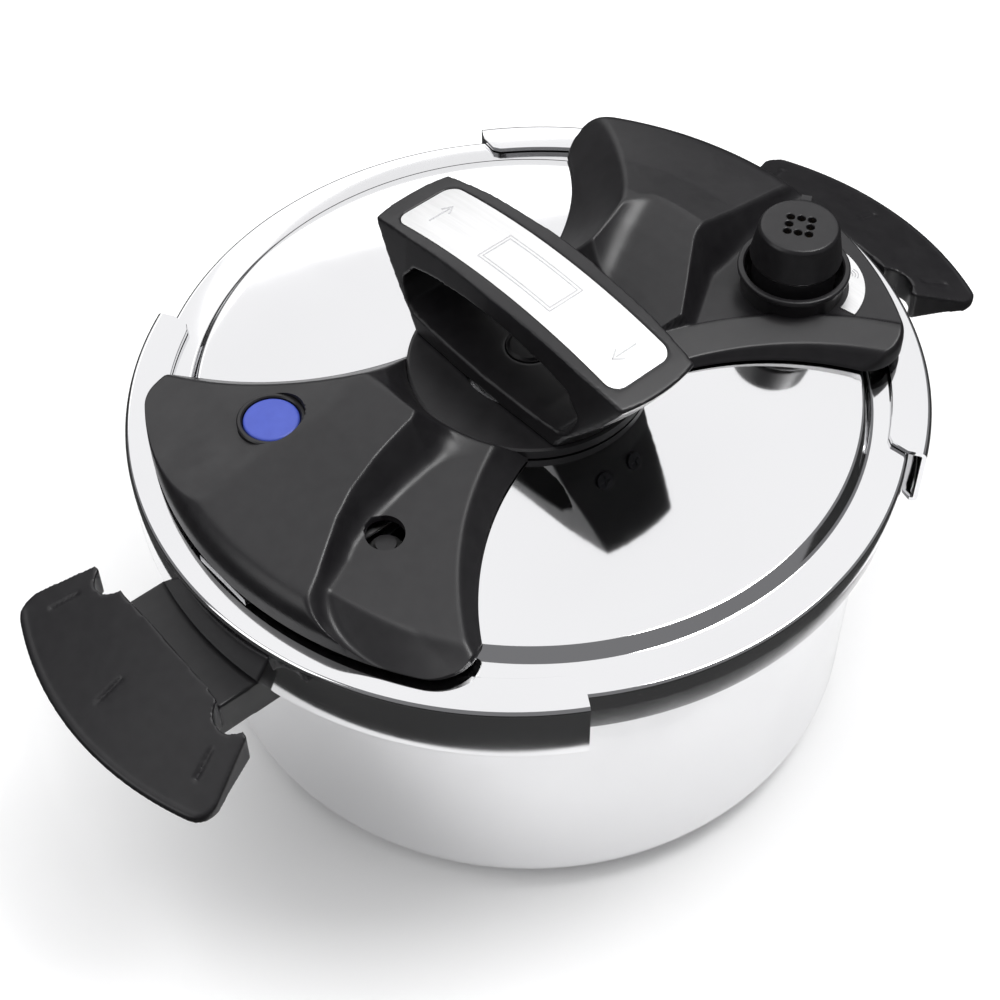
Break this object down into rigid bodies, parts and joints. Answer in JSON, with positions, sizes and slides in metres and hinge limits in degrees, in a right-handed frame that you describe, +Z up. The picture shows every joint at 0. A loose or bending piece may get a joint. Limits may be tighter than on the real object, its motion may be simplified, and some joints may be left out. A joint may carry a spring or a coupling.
{
  "type": "pressure canner",
  "caption": "Stainless stovetop pressure canner whose bridge handle turns to draw two clamp jaws over the lid rim.",
  "frame": {"origin": "centre of the base's underside", "axes": "+Z up, +X towards the pressure-valve side and one side handle; the bridge handle lies along Y at rest"},
  "size_m": [0.3814, 0.262, 0.1893],
  "materials": {
    "satin_steel": "polished, slightly soft reflections",
    "mirror_steel": "mirror polished",
    "plain_steel": "mill finish",
    "aluminium_core": "plain",
    "black_phenolic": "fine-textured matte",
    "blue_plastic": "matte",
    "satin_plate": "light satin",
    "silicone": "matte translucent white",
    "brass": "turned",
    "black_rubber": "matte",
    "dark_steel": "black oxide"
  },
  "bodies": {
    "pot": {"pot_body": "satin_steel", "base_core": "aluminium_core", "base_cap": "satin_steel", "side_handle_left": "black_phenolic", "side_handle_right": "black_phenolic", "handle_bracket_left": "plain_steel", "handle_bracket_right": "plain_steel", "side_handle_screws": "plain_steel"},
    "lid": {"lid_shell": "mirror_steel", "lid_gasket": "silicone", "carrier_plate": "plain_steel", "hub_collar": "black_phenolic", "spindle": "plain_steel", "spindle_nut": "plain_steel", "hub_clip": "plain_steel", "button_cover": "black_phenolic", "valve_cover": "black_phenolic", "cover_screws": "plain_steel", "steam_label": "satin_plate", "vent_pipe": "plain_steel", "vent_nut": "plain_steel", "vent_filter": "plain_steel", "float_seat": "black_rubber", "safety_valve": "brass", "safety_nut": "plain_steel", "button_spring": "plain_steel"},
    "float": {"float_pin": "black_phenolic"},
    "regulator_weight": {"regulator_weight": "brass"},
    "regulator_knob": {"regulator_knob": "black_phenolic"},
    "handle": {"bridge_handle": "black_phenolic", "handle_plate": "satin_plate", "handle_screws": "dark_steel", "cam_disc": "plain_steel", "cam_screws": "plain_steel", "hub_cap": "black_phenolic"},
    "jaw_left": {"jaw_left": "mirror_steel", "jaw_arm_left": "plain_steel", "follower_pin_left": "plain_steel"},
    "jaw_right": {"jaw_right": "mirror_steel", "jaw_arm_right": "plain_steel", "follower_pin_right": "plain_steel"},
    "button": {"release_button": "blue_plastic"}
  },
  "joints": [
    {"name": "lid_lift", "type": "slide", "parent": "pot", "child": "lid", "axis": [0, 0, 1], "range_m": [0, 0.16]},
    {"name": "handle_turn", "type": "hinge", "parent": "lid", "child": "handle", "pos_m": [0, 0, 0.15], "axis": [0, 0, 1], "range_deg": [0, 90]},
    {"name": "jaw_left_slide", "type": "slide", "parent": "lid", "child": "jaw_left", "axis": [1, 0, 0], "range_m": [0, 0.007]},
    {"name": "jaw_right_slide", "type": "slide", "parent": "lid", "child": "jaw_right", "axis": [-1, 0, 0], "range_m": [0, 0.007]},
    {"name": "float_rise", "type": "slide", "parent": "lid", "child": "float", "axis": [0, 0, 1], "range_m": [0, 0.005]},
    {"name": "regulator_lift", "type": "slide", "parent": "lid", "child": "regulator_weight", "axis": [0, 0, 1], "range_m": [0, 0.03]},
    {"name": "regulator_turn", "type": "hinge", "parent": "regulator_weight", "child": "regulator_knob", "pos_m": [0.093, -0.0344, 0.17], "axis": [0, 0, 1], "range_deg": [-80, 0]},
    {"name": "button_press", "type": "slide", "parent": "lid", "child": "button", "axis": [0, 0, -1], "range_m": [0, 0.003], "stiffness_N_per_m": 600, "springref_m": -0.002, "deforming": ["button_spring"]}
  ],
  "couplings": [
    {"joint": "jaw_left_slide", "follows": "handle_turn", "m_per_rad": 0.004456},
    {"joint": "jaw_right_slide", "follows": "handle_turn", "m_per_rad": 0.004456}
  ]
}
